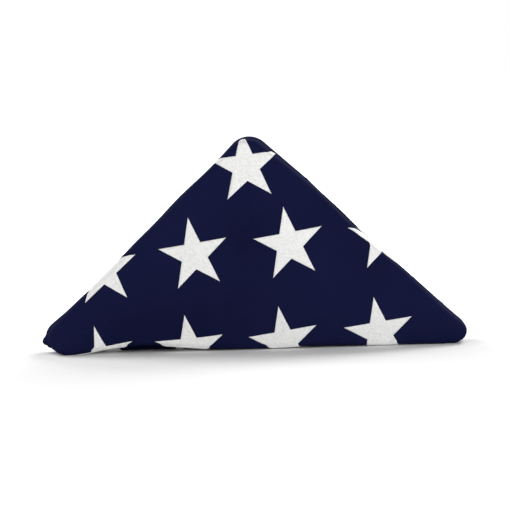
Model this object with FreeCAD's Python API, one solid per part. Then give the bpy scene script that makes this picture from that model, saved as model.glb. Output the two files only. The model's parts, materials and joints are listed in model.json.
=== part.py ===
"""Cotton flag folded to a triangle. Millimetres, +Z up, the front faces -Y, the long edge is the base."""
import FreeCAD, Part
import math
import os

# Open flag
HOIST = 1524.0
FLY = 2896.0
UNION_LENGTH = 1158.0
STRIPES = 13
UNION_STRIPES = 7
PLIES = 4
TRIANGLES = 14

# Folded triangle: its three lines before the corners are rounded
BASE_HALF = 302.0
RISE = 288.0
APEX_RADIUS = 30.0
CORNER_RADIUS = 18.0
EDGE_RADIUS = 14.0

# Cloth and the air between plies
SKIN = 1.2
CLOTH = 0.75
PLY_GAP = 0.36
SEAM_GAP = 0.2
TAIL_PITCH = 2.0

# Embroidered stars
STAR_DIAMETER = 96.0
STAR_RISE = 0.6
STAR_ROW_STEP = 82.3
STAR_COLUMN_STEP = 96.0
STAR_ROWS = 9
STAR_TURN = 8.0
FRONT_SLIP_ALONG = 12.6
FRONT_SLIP_ACROSS = -43.0
APEX_STAR = (-5.0, 239.0)

# Tail, tucked behind the back panel, with the header at its end
TAIL_TOP = 30.0
TAIL_BOTTOM = 370.0
TAIL_WALL = 15.0
TAIL_CLEARANCE = 0.4
HEADER_WIDTH = 38.0
GROMMET_HOLE = 9.5
GROMMET_BARREL = 11.0
GROMMET_FLANGE = 20.0
GROMMET_SHEET = 0.45
GROMMET_CLEARANCE = 0.1
GROMMET_FROM_TOP = 25.0

# Sizes that follow from the fold
STRIP = HOIST / PLIES
STRIPES_PER_PLY = STRIPES / PLIES
TAIL_LENGTH = FLY - TRIANGLES / 2 * STRIP
PITCH = CLOTH + PLY_GAP
LEVEL = PLIES * PITCH + PLY_GAP
FIRST_DEPTH = SKIN + PLY_GAP
TAIL_DEPTH = FIRST_DEPTH + (PLIES - 1) * PITCH
TAIL_ROOM = PLIES * TAIL_PITCH
THICKNESS = 2 * FIRST_DEPTH + (TRIANGLES * PLIES - 2) * PITCH + TAIL_ROOM
FRONT = -THICKNESS / 2
BACK = THICKNESS / 2
SLOPE = math.atan2(RISE, BASE_HALF)
INNER_RADIUS = EDGE_RADIUS - SKIN
ROOM = EDGE_RADIUS - math.sqrt(INNER_RADIUS ** 2 - (EDGE_RADIUS - FIRST_DEPTH) ** 2) + PLY_GAP
TAIL_REACH = TAIL_LENGTH - (THICKNESS - TAIL_DEPTH)
HEADER_START = TAIL_REACH - HEADER_WIDTH

# Each side of the triangle: outward normal and distance from the origin
SIDES = {
    "left": (-math.sin(SLOPE), math.cos(SLOPE), BASE_HALF * math.sin(SLOPE)),
    "right": (math.sin(SLOPE), math.cos(SLOPE), BASE_HALF * math.sin(SLOPE)),
    "hem": (0.0, -1.0, 0.0),
}
CORNERS = (("left", "right", APEX_RADIUS), ("left", "hem", CORNER_RADIUS), ("right", "hem", CORNER_RADIUS))


def space(point, y):
    return FreeCAD.Vector(point[0], y, point[1])


def line_of(side, inset):
    nx, nz, reach = SIDES[side]
    return nx, nz, reach - inset


def meet(side_a, inset_a, side_b, inset_b):
    ax, az, ac = line_of(side_a, inset_a)
    bx, bz, bc = line_of(side_b, inset_b)
    det = ax * bz - az * bx
    return (ac * bz - az * bc) / det, (ax * bc - ac * bx) / det


def clip(polygon, line):
    """Keep the part of a convex polygon on the inner side of a line."""
    nx, nz, reach = line
    kept = []
    for start, end in zip(polygon, polygon[1:] + polygon[:1]):
        over_start = nx * start[0] + nz * start[1] - reach
        over_end = nx * end[0] + nz * end[1] - reach
        if over_start <= 0:
            kept.append(start)
        if over_start * over_end < 0:
            t = over_start / (over_start - over_end)
            kept.append((start[0] + t * (end[0] - start[0]), start[1] + t * (end[1] - start[1])))
    return kept


def flipped(line):
    return -line[0], -line[1], -line[2]


def area(polygon):
    pairs = zip(polygon, polygon[1:] + polygon[:1])
    return abs(sum(a[0] * b[1] - b[0] * a[1] for a, b in pairs)) / 2


def prism(polygon, y_start, y_end):
    points = [space(point, y_start) for point in polygon]
    face = Part.Face(Part.makePolygon(points + points[:1]))
    return face.extrude(FreeCAD.Vector(0, y_end - y_start, 0))


def round_centre(side_a, side_b, radius):
    return meet(side_a, radius, side_b, radius)


def corner_trims(inset):
    """Lines that cut the sharp corners off a ply, inside the rounded corners of the outer turn."""
    lines = []
    for side_a, side_b, radius in CORNERS:
        a = SIDES[side_a]
        b = SIDES[side_b]
        size = math.hypot(a[0] + b[0], a[1] + b[1])
        nx, nz = (a[0] + b[0]) / size, (a[1] + b[1]) / size
        centre = round_centre(side_a, side_b, radius)
        left_over = max(radius - inset, 0.0)
        chord = left_over * (nx * a[0] + nz * a[1])
        lines.append((nx, nz, nx * centre[0] + nz * centre[1] + chord))
    return lines


def outline_wire(inset, y):
    """Rounded triangle, drawn in from the outline by an inset."""
    arcs = []
    for side_a, side_b, radius in (CORNERS[0], CORNERS[2], CORNERS[1]):
        centre = round_centre(side_a, side_b, radius)
        left_over = radius - inset
        a = SIDES[side_a]
        b = SIDES[side_b]
        size = math.hypot(a[0] + b[0], a[1] + b[1])
        middle = ((a[0] + b[0]) / size, (a[1] + b[1]) / size)
        normals = (a, middle, b)
        if side_a == "left" and side_b == "hem":
            normals = (b, middle, a)
        arcs.append([space((centre[0] + left_over * n[0], centre[1] + left_over * n[1]), y) for n in normals])
    edges = []
    for arc, following in zip(arcs, arcs[1:] + arcs[:1]):
        edges.append(Part.Arc(*arc).toShape())
        edges.append(Part.LineSegment(arc[2], following[0]).toShape())
    return Part.Wire(edges)


def pillow(inset):
    """Rounded triangle with its front and back edges rounded, drawn in all over by an inset."""
    solid = Part.Face(outline_wire(inset, FRONT + inset)).extrude(FreeCAD.Vector(0, THICKNESS - 2 * inset, 0))
    rims = [edge for edge in solid.Edges if abs(edge.BoundBox.YLength) < CLOTH / 2]
    return solid.makeFillet(EDGE_RADIUS - inset, rims)


def big_polygon():
    """Sharp outer triangle, grown so that later cuts decide its edges."""
    grow = -2 * EDGE_RADIUS
    return [meet("left", grow, "right", grow), meet("left", grow, "hem", grow), meet("right", grow, "hem", grow)]


def tail_zone(clearance):
    """The stretch of the right leg that the tail covers, between two lines along its draw."""
    polygon = clip(big_polygon(), flipped(line_of("right", TAIL_WALL + clearance)))
    polygon = clip(polygon, line_of("left", TAIL_TOP - clearance))
    return clip(polygon, flipped(line_of("left", TAIL_BOTTOM + clearance)))


def creased_right(turn):
    return turn % 4 in (0, 3)


def nest(turn, ply, side):
    """How far a ply lies inside its packet at one side: wrapped round a crease, or at a free edge."""
    free_side = "left" if creased_right(turn) else "right"
    if side != free_side:
        return ply * PITCH
    if free_side == "right" and ply in (1, 2):
        return PITCH
    return 0.0


def insets(turn, ply):
    """Distance of a ply from the outline at each side. Turn 0 is the last triangle of the roll."""
    wrap = (turn + 1) // 4
    levels = {"left": wrap, "right": (turn + 3) // 4, "hem": turn // 2}
    if creased_right(turn):
        levels["right"] = max(wrap, 1)
    return {side: ROOM + levels[side] * LEVEL + nest(turn, ply, side) for side in levels}


def across_line(drawn_in, from_side, fraction, trim):
    """Line parallel to one leg, at a fraction of the way to the far corner."""
    far_side = "left" if from_side == "right" else "right"
    corner = meet(far_side, drawn_in[far_side], "hem", drawn_in["hem"])
    nx, nz, reach = line_of(from_side, drawn_in[from_side])
    height = reach - nx * corner[0] - nz * corner[1]
    return nx, nz, reach - fraction * height - trim


def ply_polygon(turn, ply):
    drawn_in = insets(turn, ply)
    polygon = [
        meet("left", drawn_in["left"], "right", drawn_in["right"]),
        meet("left", drawn_in["left"], "hem", drawn_in["hem"]),
        meet("right", drawn_in["right"], "hem", drawn_in["hem"]),
    ]
    for line in corner_trims(ROOM):
        polygon = clip(polygon, line)
    return polygon


def between(polygon, drawn_in, from_side, low, high):
    """Part of a polygon between two fractions across its triangle, with half a seam gap at each cut."""
    if low > 0:
        polygon = clip(polygon, across_line(drawn_in, from_side, low, SEAM_GAP / 2))
    if high < 1:
        polygon = clip(polygon, flipped(across_line(drawn_in, from_side, high, -SEAM_GAP / 2)))
    return polygon


def ply_span(ply, low, high):
    """Where a stretch of the hoist, counted in stripes, crosses a ply: fractions from the first fold edge."""
    quarter = (1, 2, 3, 0)[ply]
    start = max(low, quarter * STRIPES_PER_PLY)
    end = min(high, (quarter + 1) * STRIPES_PER_PLY)
    if end <= start:
        return None
    share = [(v - quarter * STRIPES_PER_PLY) / STRIPES_PER_PLY for v in (start, end)]
    if quarter % 2 == 0:
        share = [1 - share[1], 1 - share[0]]
    return share


def band(turn, ply, hoist_span, fly_span):
    """Polygon of a piece of cloth in one ply of one triangle, or an empty list."""
    span = ply_span(ply, *hoist_span)
    square_start = TAIL_LENGTH + turn // 2 * STRIP
    low = min(max((fly_span[0] - square_start) / STRIP, 0), 1)
    high = min(max((fly_span[1] - square_start) / STRIP, 0), 1)
    if span is None or high <= low:
        return []
    if turn % 2 == 1:
        low, high = 1 - high, 1 - low
    span_side, fly_side = "right", "left"
    if creased_right(turn):
        span_side, fly_side = "left", "right"
        span = [1 - span[1], 1 - span[0]]
    drawn_in = insets(turn, ply)
    polygon = between(ply_polygon(turn, ply), drawn_in, span_side, *span)
    if polygon:
        polygon = between(polygon, drawn_in, fly_side, low, high)
    return polygon if len(polygon) > 2 and area(polygon) > EDGE_RADIUS else []


def depth(turn, ply):
    place = FIRST_DEPTH + (turn // 2 * PLIES + ply - 1) * PITCH
    return place + TAIL_ROOM if turn % 2 == 1 and turn > 1 else place


def y_span(turn, ply):
    """Outer and inner face of a ply."""
    if turn % 2 == 0:
        outer = FRONT + depth(turn, ply)
        return outer, outer + CLOTH
    outer = BACK - depth(turn, ply)
    return outer, outer - CLOTH


def edge_span(polygon, side, inset):
    """Stretch of a polygon that lies along one side, measured along that side."""
    nx, nz, reach = line_of(side, inset)
    along = [point[0] * nz - point[1] * nx for point in polygon
             if abs(nx * point[0] + nz * point[1] - reach) < PLY_GAP / 10]
    return (min(along), max(along)) if len(along) > 1 else None


def wall(side, inset, first, second, y_first, y_second, limits):
    """Cloth that goes round a fold: a flat wall between two stretches of one side, a little short at
    each end, so that it stays clear of the next stripe's slanted seam."""
    short = CLOTH + SEAM_GAP
    quad = [(first[0] + short, y_first), (first[1] - short, y_first),
            (second[1] - short, y_second), (second[0] + short, y_second)]
    quad = clip(quad, (-1.0, 0.0, -limits[0]))
    if quad:
        quad = clip(quad, (1.0, 0.0, limits[1]))
    if len(quad) < 3 or area(quad) < CLOTH:
        return []
    nx, nz, reach = line_of(side, inset)
    points = [FreeCAD.Vector(nx * reach + nz * u, y, nz * reach - nx * u) for u, y in quad]
    face = Part.Face(Part.makePolygon(points + points[:1]))
    return [face.extrude(FreeCAD.Vector(-nx * CLOTH, 0, -nz * CLOTH))]


def crease_after(turn):
    """The side round which the roll goes from one triangle to the next one inside it."""
    if turn % 2 == 0:
        return "hem"
    return "left" if turn % 4 == 1 else "right"


def fold_pairs(turn):
    """Plies that are one cloth at the free edge of a triangle."""
    return ((0, 1),) if creased_right(turn) else ((0, 3), (1, 2))


def folded(hoist_span, fly_span):
    """One piece of cloth, folded through the roll inside the outer turn."""
    bands = {}
    for turn in range(TRIANGLES):
        for ply in range(PLIES):
            in_skin = turn < 2 and ply == 0
            polygon = [] if in_skin else band(turn, ply, hoist_span, fly_span)
            if polygon:
                bands[turn, ply] = polygon
    solids = []
    for (turn, ply), polygon in bands.items():
        solids.append(prism(polygon, *y_span(turn, ply)))
        solids += crease_wall(bands, turn, ply)
    for turn in range(TRIANGLES):
        for pair in fold_pairs(turn):
            solids += fold_wall(bands, turn, *pair)
    return solids[0].multiFuse(solids[1:]).removeSplitter()


def crease_wall(bands, turn, ply):
    following = bands.get((turn + 1, ply))
    if not following:
        return []
    side = crease_after(turn)
    inset = insets(turn, ply)[side]
    first = edge_span(bands[turn, ply], side, inset)
    second = edge_span(following, side, inset)
    if first is None or second is None:
        return []
    whole = [edge_span(ply_polygon(t, ply), side, inset) for t in (turn, turn + 1)]
    limits = (max(span[0] for span in whole), min(span[1] for span in whole))
    return wall(side, inset, first, second, y_span(turn, ply)[0], y_span(turn + 1, ply)[0], limits)


def fold_wall(bands, turn, outer_ply, inner_ply):
    if (turn, outer_ply) not in bands or (turn, inner_ply) not in bands:
        return []
    side = "left" if creased_right(turn) else "right"
    inset = insets(turn, outer_ply)[side]
    first = edge_span(bands[turn, outer_ply], side, inset)
    second = edge_span(bands[turn, inner_ply], side, inset)
    if first is None or second is None:
        return []
    limits = (max(first[0], second[0]), min(first[1], second[1]))
    return wall(side, inset, first, second, y_span(turn, outer_ply)[0], y_span(turn, inner_ply)[1], limits)


def outer_shell():
    return pillow(0.0).cut(pillow(SKIN))


def union_outer_turn(shell):
    """Front, hem, left side and back, open where the tail goes round the right leg, slit at the left lip."""
    opening = prism(tail_zone(TAIL_CLEARANCE), FRONT - SKIN, BACK - TAIL_DEPTH + TAIL_CLEARANCE)
    lip = clip(big_polygon(), flipped(line_of("left", EDGE_RADIUS)))
    lip = clip(lip, line_of("right", TAIL_TOP))
    lip = clip(lip, (0.0, -1.0, -CORNER_RADIUS))
    slit = prism(lip, FRONT + EDGE_RADIUS, FRONT + EDGE_RADIUS + PLY_GAP)
    return shell.cut(opening).cut(slit)


def tail_hem(ply):
    """The two outer plies of the tail fold round the two inner ones at the hem."""
    return ROOM + LEVEL + (PITCH if ply in (1, 2) else 0.0)


def tail_polygon(ply, start, end):
    """Tail behind the roll: from a distance to another distance from the right leg."""
    polygon = clip(big_polygon(), line_of("right", start))
    polygon = clip(polygon, flipped(line_of("right", end)))
    polygon = clip(polygon, line_of("left", TAIL_TOP))
    polygon = clip(polygon, flipped(line_of("left", TAIL_BOTTOM)))
    return clip(polygon, line_of("hem", tail_hem(ply)))


def tail_y(ply):
    outer = BACK - TAIL_DEPTH - ply * TAIL_PITCH
    return outer, outer - CLOTH


def tail_wall_inset(ply):
    return ROOM + ply * PITCH


def hem_fold(polygon, outer_ply, inner_ply):
    """Fold along the hem that makes two plies of the tail one cloth."""
    edge = clip(polygon, flipped(line_of("hem", tail_hem(outer_ply) + CLOTH)))
    return [prism(edge, tail_y(outer_ply)[0], tail_y(inner_ply)[1])] if len(edge) > 2 else []


def tail_band(ply, low, high):
    """Polygon of one ply of the tail between two fractions of its width, up to the header."""
    width = TAIL_BOTTOM - TAIL_TOP
    polygon = tail_polygon(ply, tail_wall_inset(ply), HEADER_START - SEAM_GAP)
    if low > 0:
        polygon = clip(polygon, line_of("left", TAIL_TOP + low * width + SEAM_GAP / 2))
    if high < 1:
        polygon = clip(polygon, flipped(line_of("left", TAIL_TOP + high * width - SEAM_GAP / 2)))
    return polygon


def tail_cloth(ply, polygon):
    """A ply of the tail with its part that goes round the right leg."""
    round_leg = clip(polygon, flipped(line_of("right", tail_wall_inset(ply) + CLOTH)))
    return [prism(polygon, *tail_y(ply)), prism(round_leg, tail_y(ply)[0], y_span(0, ply)[0])]


def joined(solids):
    return solids[0].multiFuse(solids[1:]).removeSplitter()


def union_tail(shell):
    """Navy cloth of the tail: round the right leg, into the pocket, and its lining ply."""
    round_leg = shell.common(prism(tail_zone(0.0), FRONT - SKIN, BACK - TAIL_DEPTH))
    panel = prism(tail_polygon(0, 0.0, HEADER_START - SEAM_GAP), *tail_y(0))
    lining = tail_band(3, 0.0, 1.0)
    return joined([round_leg, panel] + tail_cloth(3, lining) + hem_fold(lining, 0, 3))


def tail_stripes(red):
    """Ends of the long stripes, in the two plies that the tail's navy cloth wraps."""
    pieces = []
    for stripe in range(UNION_STRIPES, STRIPES):
        if (stripe % 2 == 0) != red:
            continue
        spans = {ply: ply_span(ply, stripe, stripe + 1) for ply in (1, 2)}
        bands = {ply: tail_band(ply, 1 - span[1], 1 - span[0]) for ply, span in spans.items() if span}
        solids = []
        for ply, polygon in bands.items():
            solids += tail_cloth(ply, polygon)
        if len(bands) == 2:
            solids += hem_fold(bands[2], 1, 2)
        pieces.append(joined(solids))
    return Part.makeCompound(pieces)


def grommet_centre():
    side = HEADER_START + HEADER_WIDTH / 2
    return meet("right", side, "left", TAIL_TOP + GROMMET_FROM_TOP)


def ring(outer, inner, y_start, y_end):
    centre = space(grommet_centre(), y_start)
    axis = FreeCAD.Vector(0, y_end - y_start, 0)
    solid = Part.makeCylinder(outer / 2, axis.Length, centre, axis)
    return solid.cut(Part.makeCylinder(inner / 2, axis.Length, centre, axis)) if inner else solid


def header_band():
    """Canvas at the end of the tail, folded in four with the cloth."""
    canvas = {ply: tail_polygon(ply, HEADER_START, TAIL_REACH) for ply in range(PLIES)}
    solids = [prism(polygon, *tail_y(ply)) for ply, polygon in canvas.items()]
    top = clip(canvas[1], flipped(line_of("left", TAIL_TOP + CLOTH)))
    solids.append(prism(top, tail_y(0)[0], tail_y(1)[1]))
    solids += hem_fold(canvas[0], 0, 3)
    solids += hem_fold(canvas[1], 1, 2)
    solid = joined(solids)
    for ply in (2, 3):
        outer, inner = tail_y(ply)
        solid = solid.cut(ring(GROMMET_BARREL + 2 * GROMMET_CLEARANCE, 0.0, outer, inner))
    return solid


def grommet_eyelet(ply):
    outer, inner = tail_y(ply)
    flange = ring(GROMMET_FLANGE, GROMMET_HOLE, outer + GROMMET_SHEET, outer)
    barrel = ring(GROMMET_BARREL, GROMMET_HOLE, outer + GROMMET_SHEET, inner - GROMMET_SHEET)
    return flange.fuse(barrel).removeSplitter()


def grommet_washer(ply):
    inner = tail_y(ply)[1]
    return ring(GROMMET_FLANGE, GROMMET_BARREL + 2 * GROMMET_CLEARANCE, inner, inner - GROMMET_SHEET)


def star_polygon(centre, turn_degrees):
    """Five-pointed star, its inner corners where the lines between the tips cross."""
    golden = (3 - math.sqrt(5)) / 2
    points = []
    for step in range(10):
        radius = STAR_DIAMETER / 2 * (1.0 if step % 2 == 0 else golden)
        angle = math.radians(90 + turn_degrees + 36 * step)
        points.append((centre[0] + radius * math.cos(angle), centre[1] + radius * math.sin(angle)))
    return points


def on_panel(along_left, along_right):
    """Point at distances from the apex, down the left leg and down the right leg."""
    return ((along_right - along_left) * math.cos(SLOPE), RISE - (along_left + along_right) * math.sin(SLOPE))


def star_places(front):
    """Stars of the open flag that fall on the front or the back panel."""
    places = [APEX_STAR] if front else []
    for row in range(1, STAR_ROWS + 1):
        for column in range(1, int(UNION_LENGTH / STAR_COLUMN_STEP)):
            if (row + column) % 2 == 0:
                across = STAR_ROW_STEP * row
                along = STAR_COLUMN_STEP * column
                if front:
                    place = on_panel(along - TAIL_LENGTH + FRONT_SLIP_ALONG,
                                     2 * STRIP - across + FRONT_SLIP_ACROSS)
                    keep = math.dist(place, APEX_STAR) > STAR_DIAMETER
                else:
                    place = on_panel(across - STRIP, TAIL_LENGTH + STRIP - along)
                    keep = True
                if keep:
                    places.append(place)
    return places


def stars(front):
    """Embroidery that stands proud of the flat part of a panel, cut off where the panel turns its edge."""
    y_start, y_end = (FRONT, FRONT - STAR_RISE) if front else (BACK, BACK + STAR_RISE)
    edge = TAIL_WALL + TAIL_CLEARANCE
    panel = Part.Face(outline_wire(edge, y_start)).extrude(FreeCAD.Vector(0, y_end - y_start, 0))
    solids = []
    turn = STAR_TURN if front else -STAR_TURN
    for place in star_places(front):
        if abs(place[0]) < BASE_HALF and -STAR_DIAMETER < place[1] < RISE:
            cut = prism(star_polygon(place, turn), y_start, y_end).common(panel)
            solids += [solid for solid in cut.Solids if solid.Volume > STAR_RISE * STAR_DIAMETER]
    return Part.makeCompound(solids)


def main():
    os.makedirs("parts", exist_ok=True)
    shell = outer_shell()
    nodes = {
        "union_outer_turn": union_outer_turn(shell),
        "union_inner_turns": folded((0, UNION_STRIPES), (0, UNION_LENGTH)),
        "union_tail": union_tail(shell),
        "front_stars": stars(True),
        "back_stars": stars(False),
        "tail_red_stripe_ends": tail_stripes(True),
        "tail_white_stripe_ends": tail_stripes(False),
        "header_band": header_band(),
    }
    for stripe in range(STRIPES):
        colour = "red" if stripe % 2 == 0 else "white"
        start = UNION_LENGTH if stripe < UNION_STRIPES else 0.0
        nodes["%s_stripe_%02d" % (colour, stripe + 1)] = folded((stripe, stripe + 1), (start, FLY))
    for name, ply in (("lower", 2), ("upper", 3)):
        nodes["%s_grommet_eyelet" % name] = grommet_eyelet(ply)
        nodes["%s_grommet_washer" % name] = grommet_washer(ply)
    for name, shape in nodes.items():
        shape.exportStep("parts/%s.step" % name)
        print(name, len(shape.Solids), round(shape.Volume), shape.isValid())


main()
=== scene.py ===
import json
import math
from collections import namedtuple

import bpy
import numpy as np
from mathutils import Matrix, Vector


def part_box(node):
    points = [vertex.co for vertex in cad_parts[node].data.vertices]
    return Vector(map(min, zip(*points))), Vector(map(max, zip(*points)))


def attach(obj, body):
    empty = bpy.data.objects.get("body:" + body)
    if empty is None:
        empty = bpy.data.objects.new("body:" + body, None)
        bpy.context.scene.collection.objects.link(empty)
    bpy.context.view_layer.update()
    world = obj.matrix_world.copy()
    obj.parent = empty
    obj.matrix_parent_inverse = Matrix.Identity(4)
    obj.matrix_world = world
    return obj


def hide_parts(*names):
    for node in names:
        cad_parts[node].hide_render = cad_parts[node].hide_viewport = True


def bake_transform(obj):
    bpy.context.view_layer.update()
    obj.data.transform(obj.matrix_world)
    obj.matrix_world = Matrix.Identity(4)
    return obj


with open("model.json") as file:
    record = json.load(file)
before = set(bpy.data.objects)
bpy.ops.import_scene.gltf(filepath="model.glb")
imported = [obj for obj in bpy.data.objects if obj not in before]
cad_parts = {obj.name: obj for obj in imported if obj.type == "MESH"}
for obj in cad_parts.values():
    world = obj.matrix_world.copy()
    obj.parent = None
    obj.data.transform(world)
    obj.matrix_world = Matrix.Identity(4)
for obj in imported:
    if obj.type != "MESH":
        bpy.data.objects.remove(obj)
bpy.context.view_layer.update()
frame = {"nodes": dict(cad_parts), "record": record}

# Folded triangle, in metres: its three lines before the corners are rounded
BASE_HALF = 0.302
RISE = 0.288
APEX_RADIUS = 0.030
RIGHT_CORNER_RADIUS = 0.0170
LEFT_CORNER_RADIUS = 0.0220
SLOPE = math.atan2(RISE, BASE_HALF)

# Rounded edges, and the crown of the front and back faces
EDGE_ROUND = 0.0065
EDGE_DEPTH = 0.0125
skin_low, skin_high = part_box("union_outer_turn")
HALF_THICK = (skin_high[1] - skin_low[1]) / 2
CROWN = 0.0055
CROWN_REACH = 0.075
EDGE_HALF = HALF_THICK - CROWN
EDGE_THICK = 2 * EDGE_HALF

# Folded lip of a leg: pairs of the step out from the edge, or from the layer under it, and the depth
LIP_TURN = 0.0075
LIP_INSET = 0.0030
LIP_BACK_INSET = 0.0010
LIP_FOLD = ((0.0002, 0.0085), (0.0001, 0.0105), (-0.0006, 0.0120), (-0.0018, 0.0127), (-0.0030, 0.0120))
LIP_UNDER = ((0.0002, 0.0104), (-0.0002, 0.0096), (-0.0001, 0.0112), (0.0003, 0.0135), (0.0010, 0.0165),
             (0.0018, 0.0200), (0.0026, 0.0250), (0.0031, 0.0320), (0.0032, 0.0390))

# Cloth sampling
CLOTH_STEP = 0.0030
CORNER_DENSITY = 1.6
CORNER_STEPS_MIN = 8
LIP_EDGE_STEPS = 14
HEM_EDGE_STEPS = 20
FACE_RINGS = 40
FACE_CENTRE = np.array((0.0, 0.112))
BACK_PANEL_UV = (2.0, 0.0)
NEAREST_CHUNK = 4000
TINY = 1e-9

# Slack: shallow waves all over, and a waver of the walls, each wave as rates in X and Z, phase and size
WAVE_COUNT = 14
WAVE_LENGTHS = (0.050, 0.170)
MEAN_WAVE = 0.11
RIPPLE_HEIGHT = 0.0009
RIPPLE_DEPTH_LEAN = 0.6
SLACK_INSET = 0.0008
FACE_MARGIN = 0.003
WAVER_HEIGHT = 0.0009
WAVER_WAVES = ((37.0, 0.0, 1.3, 1.0), (-23.0, 61.0, 0.0, 0.7))
WAVER_FADE = 0.010

# Arch of the long edge off the floor, at the front
ARCH_HEIGHT = 0.0085
ARCH_MIDDLE = -0.145
ARCH_REACH = 0.070
ARCH_FADE = 0.055
SMALL_ARCH_HEIGHT = 0.0016
SMALL_ARCH_MIDDLE = 0.085
SMALL_ARCH_REACH = 0.045
HEM_HEIGHT = 0.0015
HEM_LEFT = -0.246
HEM_LEFT_FADE = 0.060
HEM_RIGHT = 0.262
HEM_RIGHT_FADE = 0.050
ARCH_BACK = 0.012
ARCH_BACK_FADE = 0.020
FLOOR_REACH = 0.030

# Underside that rests on the floor
REST_HALF = 0.25
REST_HEIGHT = 0.010
REST_TILT = 0.60
REST_TILT_FADE = 0.30

# Bulge of the right leg, drawn-out tip of the left corner and fullness of the right corner.
# Each pull of the tip is a length, the height it ends at and its fade.
BULGE_HEIGHT = 0.0035
BULGE_MIDDLE = 0.125
BULGE_REACH = 0.075
BULGE_DEPTH = 0.025
TIP_FRONT = -0.004
TIP_FRONT_FADE = 0.012
TIP_PULLS = ((0.0045, 0.060, 0.035), (0.0065, 0.026, 0.012))
TIP_START = -0.222
TIP_FADE = 0.036
TIP_LIFT = 0.0125
TIP_LIFT_START = -0.236
TIP_LIFT_FADE = 0.020
FULL_CORNER = (0.270, 0.012)
FULL_CORNER_REACH = (0.024, 0.016)
FULL_CORNER_PUSH = 0.0045

# Tail round the right leg, and the pocket behind the back panel that it is tucked into
TAIL_CUT_RING = 15
TAIL_CORNER_COLUMNS = 3
FULL_SHARE = 0.999
POCKET_STEPS = 20
POCKET_REACH = 0.106
POCKET_DEPTH = 0.0142
POCKET_LEVEL = EDGE_HALF - POCKET_DEPTH
POCKET_BEND = 0.008
POCKET_FLOOR = 0.018

# The open flag
TAIL_LENGTH = 0.229
STRIP = 0.381
ROW_STEP = 0.0823
COLUMN_STEP = 0.096
STAR_ROWS = 9
STAR_COLUMNS = 12

# Embroidered stars: centres on the front, in X and Z
STAR_RADIUS = 0.0473
STAR_INNER = (3 - math.sqrt(5)) / 2
STAR_RISE = 0.0010
STAR_EDGE = 0.0018
STAR_CLEARANCE = 0.0001
STAR_FLOOR = -0.0001
STAR_GRADES = np.concatenate((np.linspace(0, 0.90, 15), (0.935, 0.965, 0.985, 1.0)))
STAR_TURN = math.radians(8.0)
FRONT_STRETCH = 1.045
MIDDLE_STARS = ((-0.0745, 0.1272), (0.050, 0.1375))
LOWER_STARS = ((-0.083, -0.0013), (0.040, 0.0074), (0.165, 0.0159))
TAIL_STARS = ((0.173, 0.1465),)
LEG_STAR = (-0.1945, 0.1105)
LEG_STAR_TURN = math.radians(5.0)
APEX_STAR = (-0.0038, 0.2405)
APEX_STAR_TURN = math.radians(5.5)
APEX_STAR_RADIUS = 0.0490
CREASE_INSET = 0.0011
CORNER_STAR = (-0.2015, -0.0125)
CORNER_TUCK = -0.2085
TUCK_SHARE = 0.96
TUCK_HEIGHT = 0.001
TUCK_FADE = 0.007
BACK_STAR_MARGIN = 0.045
STAR_MERGE = 0.00002

# Cloth inside the roll, drawn in so that the slack outer turn covers it
INNER_SHRINK = (0.976, 0.62, 0.976)
INNER_CENTRE = (0.0, -0.0148, 0.100)
INNER_MERGE = 0.000005
INNER_CREASE = math.radians(30)

# Colours of the finishes: the lit one and the shade of each cloth, and the two ends of thread and brass
NAVY, NAVY_SHADE = (0.0078, 0.0096, 0.0420), (0.0046, 0.0058, 0.0262)
RED, RED_SHADE = (0.46, 0.022, 0.038), (0.36, 0.014, 0.026)
WHITE, WHITE_SHADE = (0.74, 0.74, 0.72), (0.64, 0.64, 0.62)
DUCK, DUCK_SHADE = (0.72, 0.69, 0.62), (0.60, 0.57, 0.50)
THREAD_WHITE, THREAD_SHADE = (0.80, 0.80, 0.79), (0.60, 0.60, 0.59)
BRASS_BRIGHT, BRASS_DULL = (0.82, 0.60, 0.26), (0.52, 0.36, 0.15)
FLOOR_WHITE = (0.86, 0.86, 0.86, 1)
SHEEN_GAIN = 9

# Light and view
WORLD_LEVEL = 0.35
FLOOR_SIZE = 16.0
FLOOR_DROP = 0.0002
GLOW_START = 0.40
GLOW_FULL = 1.20
LAMP_SIZE = 1.4
LAMP_AIM = Vector((0, 0, 0.11))
LAMPS = (
    ("key", (1.1, -2.0, 0.50), 34.5),
    ("fill", (-1.5, -1.8, 0.45), 9.5),
    ("back_right", (1.15, 1.5, 1.42), 48.0),
    ("back_left", (-1.45, 1.0, 1.32), 37.0),
)
CAMERA_DISTANCE = 5.0
CAMERA_RISE = math.radians(5.0)
CAMERA_ROLL = math.radians(1.76)
CAMERA_AIM = Vector((0.0051, -0.030, 0.1245))
FRAME_WIDTH = 0.666
SENSOR = 36.0

SEED = 7
rng = np.random.default_rng(SEED)


# Outline of the triangle

SIDE_NAMES = ("left", "right", "hem")
SIDES = {
    "left": (np.array((-math.sin(SLOPE), math.cos(SLOPE))), BASE_HALF * math.sin(SLOPE)),
    "right": (np.array((math.sin(SLOPE), math.cos(SLOPE))), BASE_HALF * math.sin(SLOPE)),
    "hem": (np.array((0.0, -1.0)), 0.0),
}


def meet(side_a, side_b, inset):
    """Point at the same distance inside two sides."""
    (na, ca), (nb, cb) = SIDES[side_a], SIDES[side_b]
    return np.linalg.solve(np.array((na, nb)), np.array((ca - inset, cb - inset)))


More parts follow.
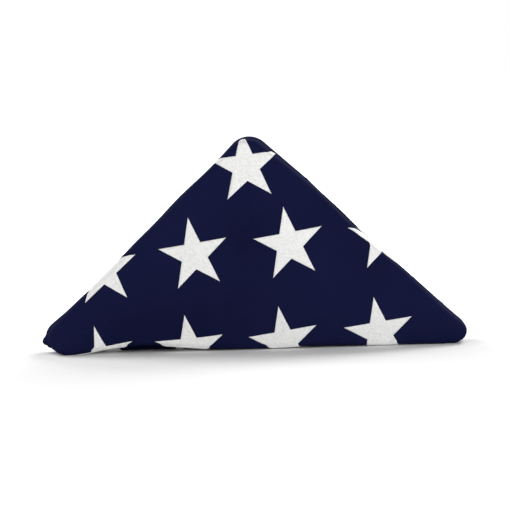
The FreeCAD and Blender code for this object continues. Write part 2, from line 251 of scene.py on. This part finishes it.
def outline():
    """Core outline, clockwise from the front: points, outward normals and the share of each side."""
    corners = [("left", "right", APEX_RADIUS), ("right", "hem", RIGHT_CORNER_RADIUS),
               ("hem", "left", LEFT_CORNER_RADIUS)]
    arcs = []
    for side_a, side_b, radius in corners:
        centre = meet(side_a, side_b, radius)
        start = math.atan2(*SIDES[side_a][0][::-1])
        turn = (math.atan2(*SIDES[side_b][0][::-1]) - start) % (2 * math.pi) - 2 * math.pi
        count = max(CORNER_STEPS_MIN, round(-turn * radius / CLOTH_STEP * CORNER_DENSITY))
        angles = start + turn * np.linspace(0, 1, count + 1)
        arcs.append((centre, radius, angles, side_a, side_b))
    core, normal, share = [], [], []
    for index, (centre, radius, angles, side_a, side_b) in enumerate(arcs):
        for step, angle in enumerate(angles):
            n = np.array((math.cos(angle), math.sin(angle)))
            blend = step / (len(angles) - 1)
            core.append(centre + n * (radius - EDGE_ROUND))
            normal.append(n)
            share.append([(1 - blend) * (name == side_a) + blend * (name == side_b) for name in SIDE_NAMES])
        next_centre, next_radius = arcs[(index + 1) % len(arcs)][:2]
        n = SIDES[side_b][0]
        start = core[-1]
        end = next_centre + n * (next_radius - EDGE_ROUND)
        count = round(np.linalg.norm(end - start) / CLOTH_STEP)
        for step in range(1, count):
            core.append(start + (end - start) * step / count)
            normal.append(n)
            share.append([float(name == side_b) for name in SIDE_NAMES])
    return np.array(core), np.array(normal), np.array(share)


# Section of the cloth as it goes round each side, from the front face to the back face

def quarter(start, end, centre, count):
    """Quarter of an ellipse between two points of a section."""
    angles = np.linspace(0, math.pi / 2, count + 1)
    start, end, centre = np.array(start), np.array(end), np.array(centre)
    return [tuple(centre + (start - centre) * math.cos(angle) + (end - centre) * math.sin(angle))
            for angle in angles]


def lip_section():
    """Section with a folded lip near the front: the cloth turns under and the next layer comes out below."""
    out = EDGE_ROUND
    under = out - LIP_INSET
    back_start = EDGE_THICK - EDGE_DEPTH
    front = quarter((0, 0), (out, LIP_TURN), (0, LIP_TURN), LIP_EDGE_STEPS)
    lip = [(out + step, depth) for step, depth in LIP_FOLD]
    lip += [(under + step, depth) for step, depth in LIP_UNDER]
    back = quarter((out - LIP_BACK_INSET, back_start), (0, EDGE_THICK), (0, back_start), LIP_EDGE_STEPS)
    return np.array(front + lip + back)


def arc_length(section):
    """Length of a section from its start to each of its points."""
    return np.concatenate(([0.0], np.cumsum(np.linalg.norm(np.diff(section, axis=0), axis=1))))


def even_section(section, count):
    """The same section with its points at even steps."""
    length = arc_length(section)
    spots = np.linspace(0, length[-1], count)
    return np.stack([np.interp(spots, length, section[:, k]) for k in range(2)], axis=1)


def plain_section(count):
    """Section with a rounded edge at the front and at the back."""
    back_start = EDGE_THICK - EDGE_DEPTH
    front = quarter((0, 0), (EDGE_ROUND, EDGE_DEPTH), (0, EDGE_DEPTH), HEM_EDGE_STEPS)
    back = quarter((EDGE_ROUND, back_start), (0, EDGE_THICK), (0, back_start), HEM_EDGE_STEPS)
    return even_section(np.array(front + back), count)


def section_normals(section):
    """Outward directions along a section."""
    tangent = np.gradient(section, axis=0)
    tangent /= np.maximum(np.linalg.norm(tangent, axis=1, keepdims=True), TINY)
    return np.stack((tangent[:, 1], -tangent[:, 0]), axis=1)


LEFT = lip_section()
RIGHT = LEFT[::-1] * (1, -1) + (0, EDGE_THICK)
SECTIONS = [LEFT, RIGHT, plain_section(len(LEFT))]
LENGTHS = [arc_length(section) for section in SECTIONS]
SECTION_NORMALS = [section_normals(section) for section in SECTIONS]
BAND_RINGS = len(LEFT)
LIP_START = LIP_EDGE_STEPS + 1
LIP_END = LIP_START + len(LIP_FOLD) + len(LIP_UNDER)
POCKET_RING = BAND_RINGS - 1 - (int(np.argmin(LEFT[LIP_START:LIP_END, 0])) + LIP_START)
CORE, NORMAL, SHARE = outline()
COLUMNS = len(CORE)


def unrolled(column, section_point, section_normal):
    """Place and outward direction of a point of the band, from its column and its section."""
    n = NORMAL[column]
    place = np.empty((len(column), 3))
    place[:, (0, 2)] = CORE[column] + n * section_point[:, :1]
    place[:, 1] = section_point[:, 1] - EDGE_HALF
    out = np.empty_like(place)
    out[:, (0, 2)] = n * section_normal[:, :1]
    out[:, 1] = section_normal[:, 1]
    out /= np.maximum(np.linalg.norm(out, axis=1, keepdims=True), TINY)
    return place, out


def nearest(points):
    """Nearest column of the core outline, and the distance outside it (negative inside)."""
    column = np.empty(len(points), dtype=int)
    for start in range(0, len(points), NEAREST_CHUNK):
        part = points[start:start + NEAREST_CHUNK]
        gap = ((part[:, None, :] - CORE[None, :, :]) ** 2).sum(axis=2)
        column[start:start + NEAREST_CHUNK] = gap.argmin(axis=1)
    step = points - CORE[column]
    along = (step * NORMAL[column]).sum(axis=1)
    return column, np.where(along > 0, along, -np.linalg.norm(step, axis=1))


def wrapped(points, front):
    """Fold flat cloth round the triangle: places and outward directions of points of the flat panel."""
    column, outside = nearest(points)
    travel = np.maximum(outside, 0.0)
    section_point = np.zeros((len(points), 2))
    section_normal = np.zeros((len(points), 2))
    for k, (section, length, normals) in enumerate(zip(SECTIONS, LENGTHS, SECTION_NORMALS)):
        spot = travel if front else length[-1] - travel
        for axis in range(2):
            section_point[:, axis] += SHARE[column, k] * np.interp(spot, length, section[:, axis])
            section_normal[:, axis] += SHARE[column, k] * np.interp(spot, length, normals[:, axis])
    place, out = unrolled(column, section_point, section_normal)
    inside = outside <= 0
    place[inside, 0] = points[inside, 0]
    place[inside, 2] = points[inside, 1]
    place[inside, 1] = -EDGE_HALF if front else EDGE_HALF
    out[inside] = (0, -1 if front else 1, 0)
    slip = (points - CORE[column]) - NORMAL[column] * travel[:, None]
    slip -= NORMAL[column] * (slip * NORMAL[column]).sum(axis=1, keepdims=True)
    place[~inside, 0] += slip[~inside, 0]
    place[~inside, 2] += slip[~inside, 1]
    return place, out


# Slack of the cloth

WAVES = [(rng.uniform(0, 2 * math.pi), rng.uniform(*WAVE_LENGTHS), rng.uniform(0, 2 * math.pi))
         for _ in range(WAVE_COUNT)]


def smooth(t):
    """Soft step from 0 to 1."""
    t = np.clip(t, 0, 1)
    return t * t * (3 - 2 * t)


def hill(t):
    """Soft bump of height 1 round 0."""
    return np.exp(-t ** 2)


def ripple(place):
    """Shallow unevenness of hand-folded cloth, in metres."""
    total = np.zeros(len(place))
    for heading, length, phase in WAVES:
        travel = place[:, 0] * math.cos(heading) + place[:, 2] * math.sin(heading)
        travel += RIPPLE_DEPTH_LEAN * place[:, 1]
        total += length * np.sin(2 * math.pi * travel / length + phase)
    return RIPPLE_HEIGHT * total / (len(WAVES) ** 0.5 * MEAN_WAVE)


def waver(place):
    """Sideways unevenness of the walls, between about -1.7 and 1.7."""
    x, z = place[:, 0], place[:, 2]
    return sum(size * np.sin(across * x + up * z + phase) for across, up, phase, size in WAVER_WAVES)


def near_floor(place):
    """Share of the arch that cloth at this height follows."""
    return np.exp(-np.maximum(place[:, 2], 0) / FLOOR_REACH)


def hem_lift(place):
    """Height that the front of the long edge arches off the floor."""
    x = place[:, 0]
    arch = ARCH_HEIGHT * hill((x - ARCH_MIDDLE) / ARCH_REACH) * smooth((x - HEM_LEFT) / ARCH_FADE)
    arch += SMALL_ARCH_HEIGHT * hill((x - SMALL_ARCH_MIDDLE) / SMALL_ARCH_REACH)
    arch += HEM_HEIGHT * smooth((x - HEM_LEFT) / HEM_LEFT_FADE) * smooth((HEM_RIGHT - x) / HEM_RIGHT_FADE)
    return arch * smooth((ARCH_BACK - place[:, 1]) / ARCH_BACK_FADE)


def leg_bulge(place):
    """Distance that the upper part of the right leg stands out."""
    normal, reach = SIDES["right"]
    flat = place[:, (0, 2)]
    down_leg = place[:, 0] * math.cos(SLOPE) + (RISE - place[:, 2]) * math.sin(SLOPE)
    fade = np.exp((flat @ normal - reach) / BULGE_DEPTH)
    return BULGE_HEIGHT * hill((down_leg - BULGE_MIDDLE) / BULGE_REACH) * fade


def settle(place, out):
    """Crown of the faces, the ripple, the arch of the hem and the corners, as the plies inside give them."""
    x, y, z = place.T
    _, outside = nearest(place[:, (0, 2)])
    on_face = (outside < 0) & (np.abs(y) > EDGE_HALF - FACE_MARGIN)
    settled = place.copy()
    settled[:, 1] += np.sign(y) * CROWN * smooth(-outside / CROWN_REACH) * on_face
    settled += out * (ripple(place) - SLACK_INSET)[:, None]
    wall = 1 - np.abs(out[:, 1])
    settled[:, 1] += WAVER_HEIGHT * waver(place) * wall * smooth((EDGE_HALF - np.abs(y)) / WAVER_FADE)
    lift = hem_lift(place)
    settled[:, 2] += lift * near_floor(place)
    faces_down = smooth((-out[:, 2] - REST_TILT) / REST_TILT_FADE)
    resting = faces_down * (np.abs(x) < REST_HALF) * (z < REST_HEIGHT)
    settled[:, 2] += (lift - settled[:, 2]) * resting
    settled[:, (0, 2)] += SIDES["right"][0] * leg_bulge(place)[:, None]
    back = smooth((y - TIP_FRONT) / TIP_FRONT_FADE)
    pull = sum(length * smooth((height - z) / fade) for length, height, fade in TIP_PULLS)
    settled[:, 0] -= pull * back * smooth((TIP_START - x) / TIP_FADE)
    lifted = TIP_LIFT * back * smooth((TIP_LIFT_START - x) / TIP_LIFT_FADE)
    settled[:, 2] = np.maximum(settled[:, 2], lifted)
    across = (x - FULL_CORNER[0]) / FULL_CORNER_REACH[0]
    upward = (z - FULL_CORNER[1]) / FULL_CORNER_REACH[1]
    settled[:, 0] += FULL_CORNER_PUSH * np.exp(-(across ** 2 + upward ** 2))
    settled[:, 2] = np.maximum(settled[:, 2], 0.0)
    return settled


# Outer turn of the cloth

def face_ring(points, y):
    """Places and outward directions of points on the front or the back face."""
    place = np.stack((points[:, 0], np.full(len(points), y), points[:, 1]), axis=1)
    out = np.zeros_like(place)
    out[:, 1] = math.copysign(1, y)
    return place, out


def back_uv(points):
    """Cloth coordinates of the back panel, turned over and apart from the front."""
    return points * (-1, 1) + BACK_PANEL_UV


def cloth_grid():
    """Vertices ring by ring: front face from its centre, round the band, to the centre of the back."""
    rings, flat = [], []
    scale = np.linspace(0, 1, FACE_RINGS + 1)[1:]
    for s in scale:
        points = FACE_CENTRE + (CORE - FACE_CENTRE) * s
        rings.append(face_ring(points, -EDGE_HALF))
        flat.append(points)
    columns = np.arange(COLUMNS)
    for j in range(1, BAND_RINGS - 1):
        section_point = sum(SHARE[:, k:k + 1] * SECTIONS[k][j] for k in range(3))
        section_normal = sum(SHARE[:, k:k + 1] * SECTION_NORMALS[k][j] for k in range(3))
        travel = sum(SHARE[:, k:k + 1] * LENGTHS[k][j] for k in range(3))
        rings.append(unrolled(columns, section_point, section_normal))
        flat.append(CORE + NORMAL * travel)
    for s in scale[::-1]:
        points = FACE_CENTRE + (CORE - FACE_CENTRE) * s
        rings.append(face_ring(points, EDGE_HALF))
        flat.append(back_uv(points))
    place = np.concatenate([ring[0] for ring in rings])
    out = np.concatenate([ring[1] for ring in rings])
    return place, out, np.concatenate(flat), len(rings)


def select_only(obj):
    bpy.ops.object.select_all(action="DESELECT")
    obj.select_set(True)
    bpy.context.view_layer.objects.active = obj


def merge_doubles(obj, threshold):
    select_only(obj)
    bpy.ops.object.mode_set(mode="EDIT")
    bpy.ops.mesh.select_all(action="SELECT")
    bpy.ops.mesh.remove_doubles(threshold=threshold)
    bpy.ops.object.mode_set(mode="OBJECT")


def mesh_object(name, vertices, faces, uv, material):
    """Object at the origin from vertices, faces and one UV pair per vertex."""
    used = sorted({v for face in faces for v in face})
    index = {v: i for i, v in enumerate(used)}
    mesh = bpy.data.meshes.new(name)
    mesh.from_pydata([tuple(vertices[v]) for v in used], [], [[index[v] for v in face] for face in faces])
    layer = mesh.uv_layers.new(name="cloth")
    for loop in mesh.loops:
        layer.data[loop.index].uv = uv[used[loop.vertex_index]]
    mesh.materials.append(material)
    mesh.validate()
    obj = bpy.data.objects.new(name, mesh)
    bpy.context.collection.objects.link(obj)
    select_only(obj)
    bpy.ops.object.shade_smooth()
    return obj


def tail_columns():
    """First and last column of the tail, on the straight right leg short of the corner."""
    on_right = np.flatnonzero(SHARE[:, 1] > FULL_SHARE)
    return on_right[0], on_right[-TAIL_CORNER_COLUMNS]


def outer_turn(material):
    """The outer turn, and apart from it the tail where it goes round the right leg into the pocket."""
    place, out, flat, rings = cloth_grid()
    first, last = tail_columns()
    tail_rings = range(FACE_RINGS - 1 - TAIL_CUT_RING, FACE_RINGS - 1 + POCKET_RING)
    turn_faces, tail_faces = [], []
    for ring in range(rings - 1):
        for column in range(COLUMNS):
            following = (column + 1) % COLUMNS
            face = [ring * COLUMNS + column, (ring + 1) * COLUMNS + column,
                    (ring + 1) * COLUMNS + following, ring * COLUMNS + following]
            in_tail = ring in tail_rings and first <= column < last
            (tail_faces if in_tail else turn_faces).append(face)
    front_pole, back_pole = len(place), len(place) + 1
    base = (rings - 1) * COLUMNS
    for column in range(COLUMNS):
        following = (column + 1) % COLUMNS
        turn_faces.append([front_pole, column, following])
        turn_faces.append([back_pole, base + following, base + column])
    centre = FACE_CENTRE[None, :]
    poles = [face_ring(centre, y) for y in (-EDGE_HALF, EDGE_HALF)]
    place = np.concatenate([place] + [pole[0] for pole in poles])
    out = np.concatenate([out] + [pole[1] for pole in poles])
    flat = np.concatenate((flat, centre, back_uv(centre)))
    vertices = settle(place, out)
    skin = mesh_object("outer_turn", vertices, turn_faces, flat, material)
    vertices, flat, tail_faces = tuck_into_pocket(vertices, flat, tail_faces, first, last)
    tail = mesh_object("tail_round_leg", vertices, tail_faces, flat, material)
    return skin, tail


def tuck_into_pocket(vertices, flat, faces, first, last):
    """Carry the tail on behind the back panel, under the lip."""
    edge_ring = FACE_RINGS - 1 + POCKET_RING
    edge = np.arange(edge_ring * COLUMNS + first, edge_ring * COLUMNS + last + 1)
    count = len(edge)
    inward = -NORMAL[first:last + 1]
    grown, grown_flat = [vertices], [flat]
    rows = [edge]
    for step in range(1, POCKET_STEPS + 1):
        row = vertices[edge].copy()
        reach = POCKET_REACH * step / POCKET_STEPS
        row[:, (0, 2)] += inward * reach
        row[:, 1] += (POCKET_LEVEL - row[:, 1]) * smooth(reach / POCKET_BEND)
        row[:, 2] = np.maximum(row[:, 2], POCKET_FLOOR)
        start = len(vertices) + (step - 1) * count
        rows.append(np.arange(start, start + count))
        grown.append(row)
        grown_flat.append(flat[edge] - inward * reach)
    for upper, lower in zip(rows, rows[1:]):
        for k in range(count - 1):
            faces.append([upper[k], lower[k], lower[k + 1], upper[k + 1]])
    return np.concatenate(grown), np.concatenate(grown_flat), faces


# Embroidered stars: tuck is the X of a fold that hides the rest, creased is set for cloth over a sharp edge

Star = namedtuple("Star", "centre turn radius stretch tuck creased",
                  defaults=(STAR_TURN, STAR_RADIUS, FRONT_STRETCH, None, False))


def toward(angle):
    """Direction of an angle from +X, of length 1."""
    return np.array((math.cos(angle), math.sin(angle)))


def star_patch(turn, radius):
    """Flat star made of five kites, with coordinates along each arm."""
    points, faces, uv = [], [], []
    count = len(STAR_GRADES)
    for arm in range(5):
        angle = math.pi / 2 + turn + arm * 2 * math.pi / 5
        tip = toward(angle)
        left, right = [STAR_INNER * toward(angle + k) for k in (math.pi / 5, -math.pi / 5)]
        start = len(points)
        for a in STAR_GRADES:
            for b in STAR_GRADES:
                points.append(a * (1 - b) * left + (1 - a) * b * right + a * b * tip)
                uv.append((arm + 0.5 * (a - b), 0.5 * (a + b)))
        for i in range(count - 1):
            for j in range(count - 1):
                corner = start + i * count + j
                faces.append([corner, corner + 1, corner + count + 1, corner + count])
    return np.array(points) * radius, faces, np.array(uv)


def edge_distance(points, turn, size):
    """Distance of points of a star from its nearest edge."""
    ring = []
    for step in range(10):
        radius = size * (1.0 if step % 2 == 0 else STAR_INNER)
        ring.append(toward(math.pi / 2 + turn + step * math.pi / 5) * radius)
    best = np.full(len(points), np.inf)
    for a, b in zip(ring, ring[1:] + ring[:1]):
        along = np.clip(((points - a) @ (b - a)) / ((b - a) @ (b - a)), 0, 1)
        best = np.minimum(best, np.linalg.norm(points - a - along[:, None] * (b - a), axis=1))
    return best


def drawn_over(points):
    """Flat points moved outward so that the cloth looks straight up to a creased edge from the front."""
    column, outside = nearest(points)
    travel = np.maximum(outside, 0.0)
    along = np.zeros(len(points))
    for k, (section, length) in enumerate(zip(SECTIONS, LENGTHS)):
        top = int(np.argmax(section[:, 0] > EDGE_ROUND - CREASE_INSET))
        spot = np.interp(travel, section[:top + 1, 0], length[:top + 1])
        along += SHARE[column, k] * (spot + np.maximum(travel - section[top, 0], 0))
    return points + NORMAL[column] * (along - travel)[:, None]


def star_group(name, stars, front, material):
    """Raised embroidery wrapped round the cloth, one patch for each star."""
    vertices, faces, uv = [], [], []
    for star in stars:
        points, patch, threads = star_patch(star.turn, star.radius)
        inset = np.clip(edge_distance(points, star.turn, star.radius) / STAR_EDGE, 0, 1)
        height = STAR_RISE * np.sqrt(1 - (1 - inset) ** 2)
        laid = points * (1.0, star.stretch) + np.array(star.centre)
        if star.tuck is not None:
            hidden = np.minimum(laid[:, 0] - star.tuck, 0) * smooth((laid[:, 1] - TUCK_HEIGHT) / TUCK_FADE)
            laid[:, 0] -= TUCK_SHARE * hidden
        if star.creased:
            laid = drawn_over(laid)
        place, out = wrapped(laid, front)
        raised = settle(place, out) + out * (height + STAR_CLEARANCE)[:, None]
        raised[:, 2] = np.maximum(raised[:, 2], STAR_FLOOR)
        start = sum(len(v) for v in vertices)
        vertices.append(raised)
        uv.append(threads)
        faces += [[start + v for v in (face if front else face[::-1])] for face in patch]
    obj = mesh_object(name, np.concatenate(vertices), faces, np.concatenate(uv), material)
    merge_doubles(obj, STAR_MERGE)
    return obj


def on_panel(along_left, along_right):
    """Point at distances from the apex, down the left leg and down the right leg."""
    across = (along_right - along_left) * math.cos(SLOPE)
    return across, RISE - (along_left + along_right) * math.sin(SLOPE)


def back_star_centres():
    """Centres of the stars that fall on the back panel or on the cloth round its edges."""
    centres = []
    for row in range(1, STAR_ROWS + 1):
        for column in range(1, STAR_COLUMNS):
            if (row + column) % 2 == 0:
                centre = on_panel(ROW_STEP * row - STRIP, TAIL_LENGTH + STRIP - COLUMN_STEP * column)
                _, outside = nearest(np.array([centre]))
                if outside[0] < BACK_STAR_MARGIN:
                    centres.append(centre)
    return centres


# Finishes

def new_material(name):
    material = bpy.data.materials.new(name)
    material.use_nodes = True
    tree = material.node_tree
    return material, tree.nodes, tree.links, tree.nodes["Principled BSDF"]


def set_sockets(node, values):
    for name, value in values.items():
        node.inputs[name].default_value = value


def bands(nodes, links, source, direction, values):
    """Wave bands along one direction of the given coordinates."""
    wave = nodes.new("ShaderNodeTexWave")
    wave.wave_type = "BANDS"
    wave.bands_direction = direction
    set_sockets(wave, values)
    links.new(source, wave.inputs["Vector"])
    return wave.outputs["Fac"]


def noise(nodes, links, source, scale, detail):
    cloud = nodes.new("ShaderNodeTexNoise")
    set_sockets(cloud, {"Scale": scale, "Detail": detail})
    links.new(source, cloud.inputs["Vector"])
    return cloud.outputs["Fac"]


def weighted(nodes, links, source, weight, base):
    """Source times weight, added to base."""
    mix = nodes.new("ShaderNodeMath")
    mix.operation = "MULTIPLY_ADD"
    mix.inputs[1].default_value = weight
    links.new(source, mix.inputs[0])
    links.new(base, mix.inputs[2])
    return mix.outputs[0]


def shade_between(nodes, links, source, shader, low, high):
    """Base colour from a ramp: low and high are each a position and a colour."""
    ramp = nodes.new("ShaderNodeValToRGB")
    for element, (position, colour) in zip(ramp.color_ramp.elements, (low, high)):
        element.position = position
        element.color = (*colour, 1)
    links.new(source, ramp.inputs["Fac"])
    links.new(ramp.outputs["Color"], shader.inputs["Base Color"])


def raise_threads(nodes, links, source, shader, strength, distance):
    bump = nodes.new("ShaderNodeBump")
    set_sockets(bump, {"Strength": strength, "Distance": distance})
    links.new(source, bump.inputs["Height"])
    links.new(bump.outputs["Normal"], shader.inputs["Normal"])


def woven_cotton(name, colour, shade, roughness, sheen):
    """Plain weave: crossing threads raise the surface, slubs and a cloud vary the shade."""
    material, nodes, links, shader = new_material(name)
    coordinates = nodes.new("ShaderNodeTexCoord").outputs
    thread = {"Scale": 450.0, "Distortion": 1.2, "Detail": 1.0, "Detail Scale": 2.0}
    weave = nodes.new("ShaderNodeMath")
    weave.operation = "MULTIPLY"
    for socket, direction in zip(weave.inputs, "XY"):
        links.new(bands(nodes, links, coordinates["UV"], direction, thread), socket)
    cloud = noise(nodes, links, coordinates["Object"], scale=9.0, detail=5.0)
    slub = noise(nodes, links, coordinates["UV"], scale=420.0, detail=2.0)
    tone = weighted(nodes, links, slub, weight=0.45, base=cloud)
    shade_between(nodes, links, tone, shader, low=(0.40, shade), high=(1.0, colour))
    raise_threads(nodes, links, weave.outputs[0], shader, strength=0.35, distance=0.00025)
    tint = (*[min(1.0, c * SHEEN_GAIN) for c in colour], 1)
    set_sockets(shader, {"Roughness": roughness, "Specular IOR Level": 0.02, "Sheen Weight": sheen,
                         "Sheen Roughness": 0.5, "Sheen Tint": tint})
    return material


def satin_stitch(name):
    """White embroidery: slanting rows of thread with soft mottling."""
    material, nodes, links, shader = new_material(name)
    place = nodes.new("ShaderNodeTexCoord").outputs["Object"]
    thread = {"Scale": 520.0, "Distortion": 4.0, "Detail": 2.0, "Detail Scale": 3.0}
    rows = bands(nodes, links, place, "DIAGONAL", thread)
    mottle = noise(nodes, links, place, scale=330.0, detail=3.0)
    blend = weighted(nodes, links, rows, weight=0.35, base=mottle)
    shade_between(nodes, links, blend, shader, low=(0.30, THREAD_SHADE), high=(0.85, THREAD_WHITE))
    raise_threads(nodes, links, blend, shader, strength=0.5, distance=0.0004)
    set_sockets(shader, {"Roughness": 0.62, "Specular IOR Level": 0.3, "Sheen Weight": 0.1})
    return material


def rolled_brass(name):
    """Sheet brass, dulled unevenly by handling."""
    material, nodes, links, shader = new_material(name)
    place = nodes.new("ShaderNodeTexCoord").outputs["Object"]
    tarnish = noise(nodes, links, place, scale=260.0, detail=4.0)
    shade_between(nodes, links, tarnish, shader, low=(0.0, BRASS_DULL), high=(1.0, BRASS_BRIGHT))
    dull = nodes.new("ShaderNodeMapRange")
    set_sockets(dull, {"To Min": 0.42, "To Max": 0.24})
    links.new(tarnish, dull.inputs["Value"])
    links.new(dull.outputs["Result"], shader.inputs["Roughness"])
    shader.inputs["Metallic"].default_value = 1.0
    return material


NAVY_COTTON = woven_cotton("navy_cotton", NAVY, NAVY_SHADE, roughness=0.95, sheen=0.012)
WHITE_THREAD = satin_stitch("white_thread")
RED_COTTON = woven_cotton("red_cotton", RED, RED_SHADE, roughness=0.82, sheen=0.06)
WHITE_COTTON = woven_cotton("white_cotton", WHITE, WHITE_SHADE, roughness=0.82, sheen=0.06)
CANVAS = woven_cotton("header_canvas", DUCK, DUCK_SHADE, roughness=0.88, sheen=0.04)
BRASS = rolled_brass("rolled_brass")
INNER_FINISHES = {"navy_cotton": NAVY_COTTON, "red_cotton": RED_COTTON, "white_cotton": WHITE_COTTON,
                  "canvas": CANVAS, "brass": BRASS}


# Cloth and brass inside the roll


def inner_cloth(node, material):
    """Folded piece inside the roll, drawn in a little so that the slack outer turn covers it."""
    mesh = frame["nodes"][node].data.copy()
    mesh.name = node + "_cloth"
    piece = bpy.data.objects.new(node + "_cloth", mesh)
    bpy.context.collection.objects.link(piece)
    mesh.materials.clear()
    mesh.materials.append(material)
    body = "tail" if node in frame["record"]["behaviour"]["bodies"]["tail"] else "roll"
    merge_doubles(piece, INNER_MERGE)
    centre = np.array(INNER_CENTRE)
    place = centre + (np.array([vertex.co for vertex in mesh.vertices]) - centre) * INNER_SHRINK
    place[:, 2] += hem_lift(place) * near_floor(place)
    for vertex, point in zip(mesh.vertices, place):
        vertex.co = point
    bpy.ops.object.shade_smooth_by_angle(angle=INNER_CREASE)
    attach(piece, body)
    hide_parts(node)


# Assembly

skin, tail = outer_turn(NAVY_COTTON)

panel_stars = [Star(centre) for centre in MIDDLE_STARS + LOWER_STARS]
panel_stars.append(Star(LEG_STAR, turn=LEG_STAR_TURN))
panel_stars.append(Star(CORNER_STAR, tuck=CORNER_TUCK))
panel_stars.append(Star(APEX_STAR, APEX_STAR_TURN, APEX_STAR_RADIUS, stretch=1.0, creased=True))
tail_stars = [Star(centre) for centre in TAIL_STARS]
reverse_stars = [Star(centre, turn=-STAR_TURN, stretch=1.0) for centre in back_star_centres()]
front_stars = star_group("front_stars_embroidery", panel_stars, True, WHITE_THREAD)
tail_star = star_group("tail_star_embroidery", tail_stars, True, WHITE_THREAD)
back_stars = star_group("back_stars_embroidery", reverse_stars, False, WHITE_THREAD)

for row in frame["record"]["subparts"]:
    if row["node"] not in ("union_outer_turn", "union_tail") and row["material_slot"] in INNER_FINISHES:
        inner_cloth(row["node"], INNER_FINISHES[row["material_slot"]])

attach(skin, "roll")
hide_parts("union_outer_turn")
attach(front_stars, "roll")
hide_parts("front_stars")
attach(back_stars, "roll")
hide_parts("back_stars")

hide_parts("union_tail")
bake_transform(tail)
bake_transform(tail_star)


# Stage

def white_floor():
    """Matt floor that fades into the white background away from the object."""
    bpy.ops.object.select_all(action="DESELECT")
    bpy.ops.mesh.primitive_plane_add(size=FLOOR_SIZE, location=(0, 0, -FLOOR_DROP))
    floor = bpy.context.object
    floor.name = "floor"
    material, nodes, links, shader = new_material("pale_floor")
    set_sockets(shader, {"Base Color": FLOOR_WHITE, "Roughness": 0.9, "Specular IOR Level": 0.0})
    place = nodes.new("ShaderNodeTexCoord").outputs["Object"]
    distance = nodes.new("ShaderNodeVectorMath")
    distance.operation = "LENGTH"
    links.new(place, distance.inputs[0])
    fade = nodes.new("ShaderNodeMapRange")
    fade.interpolation_type = "SMOOTHSTEP"
    set_sockets(fade, {"From Min": GLOW_START, "From Max": GLOW_FULL})
    links.new(distance.outputs["Value"], fade.inputs["Value"])
    ray = nodes.new("ShaderNodeLightPath")
    gain = nodes.new("ShaderNodeMath")
    gain.operation = "MULTIPLY"
    links.new(ray.outputs["Is Camera Ray"], gain.inputs[0])
    links.new(fade.outputs["Result"], gain.inputs[1])
    glow = nodes.new("ShaderNodeEmission")
    links.new(gain.outputs[0], glow.inputs["Strength"])
    both = nodes.new("ShaderNodeAddShader")
    links.new(shader.outputs[0], both.inputs[0])
    links.new(glow.outputs[0], both.inputs[1])
    links.new(both.outputs[0], nodes["Material Output"].inputs["Surface"])
    floor.data.materials.append(material)


def white_world():
    """Soft light from all round, seen by the camera as plain white."""
    world = bpy.data.worlds.new("studio")
    bpy.context.scene.world = world
    world.use_nodes = True
    nodes, links = world.node_tree.nodes, world.node_tree.links
    background = nodes["Background"]
    background.inputs["Color"].default_value = (1, 1, 1, 1)
    ray = nodes.new("ShaderNodeLightPath")
    level = nodes.new("ShaderNodeMath")
    level.operation = "MULTIPLY_ADD"
    level.inputs[1].default_value = 1.0 - WORLD_LEVEL
    level.inputs[2].default_value = WORLD_LEVEL
    links.new(ray.outputs["Is Camera Ray"], level.inputs[0])
    links.new(level.outputs[0], background.inputs["Strength"])


def lamps():
    for name, place, power in LAMPS:
        lamp = bpy.data.lights.new(name, "AREA")
        lamp.energy = power
        lamp.size = LAMP_SIZE
        lamp_object = bpy.data.objects.new(name, lamp)
        lamp_object.location = place
        aim = LAMP_AIM - Vector(place)
        lamp_object.rotation_euler = aim.to_track_quat("-Z", "Y").to_euler()
        bpy.context.collection.objects.link(lamp_object)


def camera():
    data = bpy.data.cameras.new("photo_view")
    data.sensor_width = SENSOR
    data.sensor_height = SENSOR
    data.sensor_fit = "HORIZONTAL"
    data.lens = SENSOR * CAMERA_DISTANCE / FRAME_WIDTH
    obj = bpy.data.objects.new("photo_view", data)
    away = Vector((0, -math.cos(CAMERA_RISE), math.sin(CAMERA_RISE)))
    obj.location = CAMERA_AIM + away * CAMERA_DISTANCE
    turn = (-away).to_track_quat("-Z", "Y").to_matrix().to_4x4()
    roll = turn @ Matrix.Rotation(-CAMERA_ROLL, 4, "Z")
    obj.rotation_euler = roll.to_euler()
    bpy.context.collection.objects.link(obj)
    bpy.context.scene.camera = obj


white_floor()
white_world()
lamps()
camera()
bpy.context.scene.view_settings.view_transform = "Standard"
